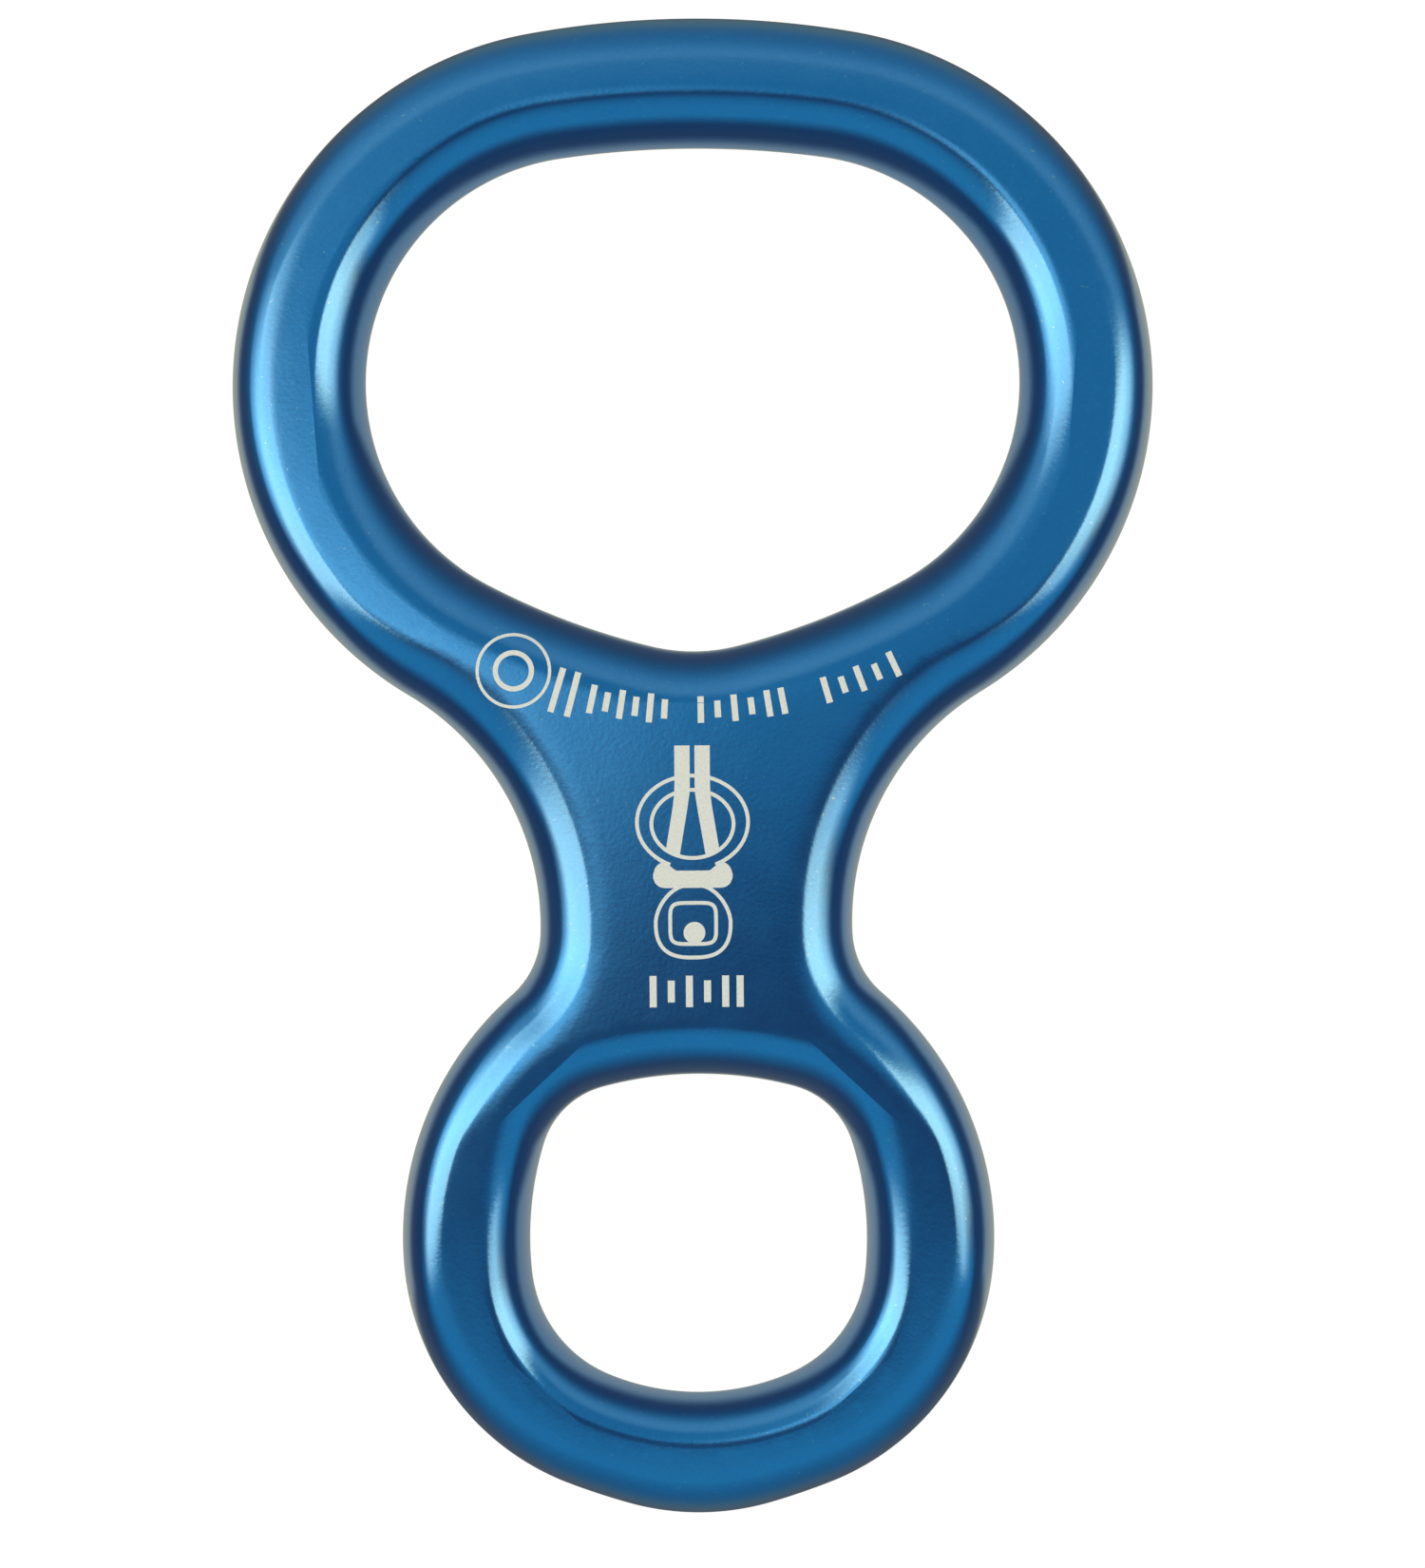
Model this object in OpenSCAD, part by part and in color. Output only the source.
// Figure-eight rope descender: one forged aluminium body with a large rope eye, a flat
// neck and a small carabiner eye. It lies on its back: X is its width, +Y runs towards the
// rope eye and +Z is the front. The origin is the middle of its box, on the resting plane.
//
// Each edge is a chain of tangent arcs. A chain starts on the centre line, runs down the
// right side and ends on the centre line again; the left side is its mirror image. The
// last arc of a chain is worked out, so that it meets the centre line squarely.

/* [Size] */
// Length over both eyes
length = 125; // [124.5:0.5:126]
// Thickness of the forging
thick = 12; // [11:0.5:13]

/* [Outer edge] */
// Radius of the crown over the rope eye
crown_r = 79; // [70:1:90]
// Turn of the crown, from the centre line
crown_turn = 10; // [9:1:11]
// Radius of the shoulder round the rope eye
shoulder_r = 30; // [29.5:0.5:30.5]
// Turn of the shoulder
shoulder_turn = 139; // [138:1:140]
// Radius of the hollow from the shoulder into the neck
neck_r = 22.5; // [22:0.5:23]
// Turn of the hollow into the neck
neck_turn = 61; // [60:1:62]
// Radius of the tight hollow at the foot of the neck
waist_r = 7; // [6.5:0.5:8]
// Turn of the tight hollow
waist_turn = 47; // [46:1:48]
// Radius of the hip beside the carabiner eye
hip_r = 27; // [26.5:0.5:27.5]
// Turn of the hip
hip_turn = 54; // [53:1:55]
// Radius of the heel below the carabiner eye
heel_r = 21.5; // [21:0.5:22]
// Turn of the heel
heel_turn = 64; // [63:1:65]
// Radius of the toe, before the last arc
toe_r = 60; // [50:5:70]
// Turn of the toe
toe_turn = 5; // [4:1:6]

/* [Rope eye] */
// Height of the rope eye's upper edge over the foot of the body
rope_eye_top = 114.1; // [113.9:0.1:114.3]
// Radius of the upper edge
rope_top_r = 79; // [70:1:90]
// Turn of the upper edge, from the centre line
rope_top_turn = 8; // [7:1:9]
// Radius of the sides
rope_side_r = 19; // [18.8:0.1:19.2]
// Turn of the sides
rope_side_turn = 144; // [143:1:145]
// Radius of the lower flanks
rope_low_r = 60; // [55:1:65]
// Turn of the lower flanks
rope_low_turn = 14; // [13:1:15]

/* [Carabiner eye] */
// Height of the carabiner eye's upper edge over the foot of the body
small_eye_top = 36.7; // [36.5:0.1:36.9]
// Radius of the upper edge
small_top_r = 31; // [30:1:33]
// Turn of the upper edge, from the centre line
small_top_turn = 15; // [14:1:16]
// Radius of the upper corners
small_corner_r = 7; // [6.5:0.5:7.5]
// Turn of the upper corners
small_corner_turn = 58; // [57:1:59]
// Radius of the sides
small_side_r = 27; // [26:0.5:28]
// Turn of the sides
small_side_turn = 23; // [22:1:24]
// Radius of the lower corners
small_low_r = 10.5; // [10:0.5:10.5]
// Turn of the lower corners
small_low_turn = 61; // [60:1:62]

/* [Rounding] */
// Depth of the rounding along the outer edge
outer_round = 4.4; // [4:0.1:4.5]
// Depth of the rounding round the rope eye
rope_round = 5.4; // [5:0.1:5.6]
// Depth of the rounding round the carabiner eye
small_round = 4.2; // [4:0.1:4.3]

/* [Hidden] */

blue = [0.10, 0.36, 0.60];
round_fn = 96;
// Width of the flat land behind each rounding, which the core plate overlaps
land = 0.5;
// Largest turn between two points along the core plate's edge
plate_step = 6;

outer_chain = closed([[crown_r, crown_turn], [shoulder_r, shoulder_turn],
    [neck_r, -neck_turn], [waist_r, -waist_turn], [hip_r, hip_turn],
    [heel_r, heel_turn], [toe_r, toe_turn]], length);
rope_chain = closed([[rope_top_r, rope_top_turn], [rope_side_r, rope_side_turn],
    [rope_low_r, rope_low_turn]], rope_eye_top);
small_chain = closed([[small_top_r, small_top_turn], [small_corner_r, small_corner_turn],
    [small_side_r, small_side_turn], [small_low_r, small_low_turn]], small_eye_top);

// Heading where arc n starts, clockwise from +X
function heading(arcs, n) = n == 0 ? 0 : heading(arcs, n - 1) + arcs[n - 1][1];
// Radius with its sign: a hollow arc turns the other way
function bend(arcs, n) = arcs[n][0] * sign(arcs[n][1]);
// Unit vector to the right of a heading
function right(h) = [-sin(h), -cos(h)];
// Start of arc n, on a chain that starts on the centre line at Y = top
function start(arcs, top, n) = n == 0 ? [0, top] : start(arcs, top, n - 1)
    + bend(arcs, n - 1) * (right(heading(arcs, n - 1)) - right(heading(arcs, n)));
// Centre of arc n
function centre(arcs, top, n) =
    start(arcs, top, n) + bend(arcs, n) * right(heading(arcs, n));
// The chain with its last arc added
function closed(arcs, top) =
    let (n = len(arcs), h = heading(arcs, n))
        concat(arcs, [[start(arcs, top, n)[0] / sin(h), 180 - h]]);
// Where a closed chain ends, on the centre line
function foot(arcs, top) =
    centre(arcs, top, len(arcs) - 1)[1] - arcs[len(arcs) - 1][0];
// Points along arc n, moved to the right by inset
function arc_points(arcs, top, n, inset) =
    let (h = heading(arcs, n), turn = arcs[n][1], count = ceil(abs(turn) / plate_step))
        [for (i = [0 : count - 1])
            centre(arcs, top, n) - (bend(arcs, n) - inset) * right(h + turn * (i + 0.5) / count)];

// Moves by whole millimetres, then by thousandths, then by the rest, so that no digit of a
// long number is lost and neighbouring arcs meet face to face
module place(v) {
    coarse = [for (c = v) round(c)];
    fine = [for (c = v - coarse) round(c * 1000) / 1000];
    translate(coarse) translate(fine) translate(v - coarse - fine) children();
}

// Section of a rounded edge: the edge is at X = 0 and the metal runs along +X
module edge_section(depth) {
    half = thick / 2;
    intersection() {
        translate([depth, half]) scale([depth / half, 1]) circle(half, $fn = round_fn);
        square([depth, thick]);
    }
    translate([depth, 0]) square([land, thick]);
}

// The rounded edge along one arc of radius r, from the polar angle first over a sweep
module edge_arc(mid, r, first, sweep, depth, metal_inside)
    place(mid) rotate_extrude(start = first, angle = sweep, $fn = round_fn)
        place([r, 0]) mirror([metal_inside ? 1 : 0, 0]) edge_section(depth);

// The rounded edge along a whole chain; is_hole says that the metal is outside the chain
module edge_ring(arcs, top, depth, is_hole)
    for (n = [0 : len(arcs) - 1]) {
        h = heading(arcs, n);
        turn = arcs[n][1];
        mid = centre(arcs, top, n);
        on_centre_line = n == 0 || n == len(arcs) - 1;
        if (on_centre_line)
            edge_arc([0, mid[1]], arcs[n][0], n == 0 ? 90 - turn : 270 - turn, 2 * turn,
                     depth, !is_hole);
        else for (side = [0, 1]) mirror([side, 0])
            edge_arc(mid, arcs[n][0], turn < 0 ? 270 - h : 90 - h - turn, abs(turn),
                     depth, is_hole == (turn < 0));
    }

// Flat area inside a chain, moved to the right by inset
module chain_area(arcs, top, inset) {
    side = [for (n = [0 : len(arcs) - 1]) each arc_points(arcs, top, n, inset)];
    polygon(concat(side, [for (i = [len(side) - 1 : -1 : 0]) [-side[i][0], side[i][1]]]));
}

// The flat plate between the roundings: the neck, and a narrow strip round each eye
module core_plate()
    linear_extrude(thick) difference() {
        chain_area(outer_chain, length, outer_round + land / 2);
        chain_area(rope_chain, rope_eye_top, -rope_round - land / 2);
        chain_area(small_chain, small_eye_top, -small_round - land / 2);
    }

module forged_body()
    color(blue) translate([0, -(length + foot(outer_chain, length)) / 2, 0]) {
        edge_ring(outer_chain, length, outer_round, false);
        edge_ring(rope_chain, rope_eye_top, rope_round, true);
        edge_ring(small_chain, small_eye_top, small_round, true);
        core_plate();
    }

forged_body();
